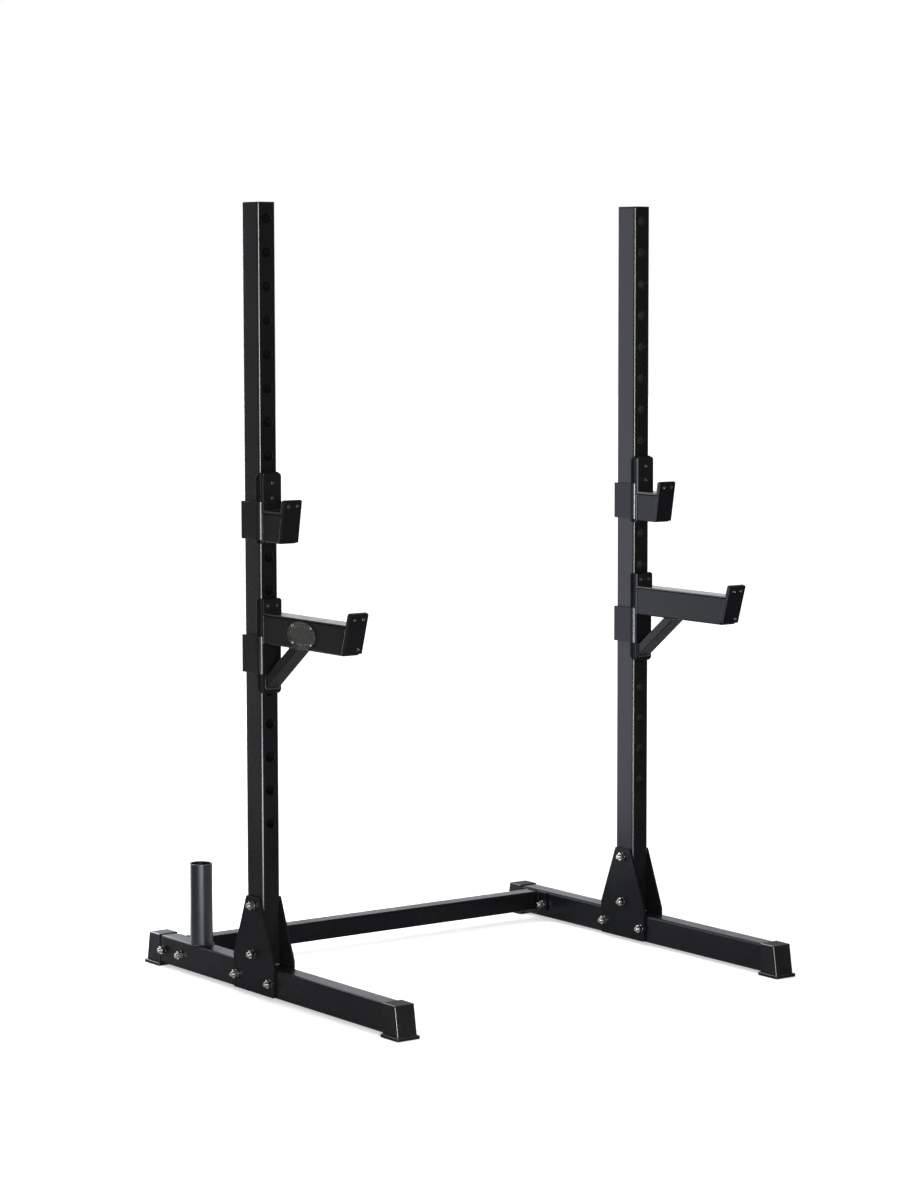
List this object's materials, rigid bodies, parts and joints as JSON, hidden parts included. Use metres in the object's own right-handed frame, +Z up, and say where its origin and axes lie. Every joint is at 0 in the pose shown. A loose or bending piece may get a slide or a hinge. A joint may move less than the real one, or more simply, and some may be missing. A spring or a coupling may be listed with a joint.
{
  "type": "squat stand",
  "caption": "Free-standing squat stand with bolted uprights on a U-shaped base, pull-off J-hooks, spotter arms and a bar storage tube.",
  "frame": {"origin": "on the floor, under the middle of the stand's bounding box", "axes": "+Z up, -Y towards the lifter's side that the hooks and arms reach out to, +X to the right as seen from -Y looking along +Y"},
  "size_m": [1.228, 1.117, 1.9021],
  "materials": {
    "black_paint": "satin black powder coat",
    "textured_paint": "hammered dark grey paint",
    "cap_plastic": "matt black moulded plastic",
    "liner_plastic": "smooth black wear plastic",
    "zinc": "bright zinc plate",
    "brass": "dull aged plate"
  },
  "bodies": {
    "frame": {"upright_left": "black_paint", "top_cap_left": "cap_plastic", "rail_left": "black_paint", "beam_plate_left": "black_paint", "foot_cap_left_front": "cap_plastic", "foot_cap_left_rear": "cap_plastic", "gusset_left_a": "black_paint", "gusset_left_b": "black_paint", "gusset_bolt_left_top": "zinc", "gusset_bolt_left_middle": "zinc", "gusset_bolt_left_front": "zinc", "gusset_bolt_left_rear": "zinc", "beam_bolt_left_front": "zinc", "beam_bolt_left_rear": "zinc", "upright_right": "black_paint", "top_cap_right": "cap_plastic", "rail_right": "black_paint", "beam_plate_right": "black_paint", "foot_cap_right_front": "cap_plastic", "foot_cap_right_rear": "cap_plastic", "gusset_right_a": "black_paint", "gusset_right_b": "black_paint", "gusset_bolt_right_top": "zinc", "gusset_bolt_right_middle": "zinc", "gusset_bolt_right_front": "zinc", "gusset_bolt_right_rear": "zinc", "beam_bolt_right_front": "zinc", "beam_bolt_right_rear": "zinc", "crossbeam": "black_paint", "storage_tube": "textured_paint"},
    "hook_left": {"hook_left_wrap": "black_paint", "hook_left_plate": "black_paint", "hook_left_pin": "black_paint", "hook_left_tube": "black_paint", "hook_left_lip": "black_paint", "hook_left_liner": "liner_plastic"},
    "arm_left": {"arm_left_wrap": "black_paint", "arm_left_plate": "black_paint", "arm_left_pin": "black_paint", "arm_left_tube": "black_paint", "arm_left_lip": "black_paint", "arm_left_liner": "liner_plastic", "arm_left_brace": "black_paint", "badge": "brass"},
    "hook_right": {"hook_right_wrap": "black_paint", "hook_right_plate": "black_paint", "hook_right_pin": "black_paint", "hook_right_tube": "black_paint", "hook_right_lip": "black_paint", "hook_right_liner": "liner_plastic"},
    "arm_right": {"arm_right_wrap": "black_paint", "arm_right_plate": "black_paint", "arm_right_pin": "black_paint", "arm_right_tube": "black_paint", "arm_right_lip": "black_paint", "arm_right_liner": "liner_plastic", "arm_right_brace": "black_paint"}
  },
  "joints": [
    {"name": "hook_left_pull", "type": "slide", "parent": "frame", "child": "hook_left", "axis": [0, -1, 0], "range_m": [0, 0.09]},
    {"name": "hook_right_pull", "type": "slide", "parent": "frame", "child": "hook_right", "axis": [0, -1, 0], "range_m": [0, 0.09]},
    {"name": "arm_left_pull", "type": "slide", "parent": "frame", "child": "arm_left", "axis": [0, -1, 0], "range_m": [0, 0.09]},
    {"name": "arm_right_pull", "type": "slide", "parent": "frame", "child": "arm_right", "axis": [0, -1, 0], "range_m": [0, 0.09]}
  ]
}
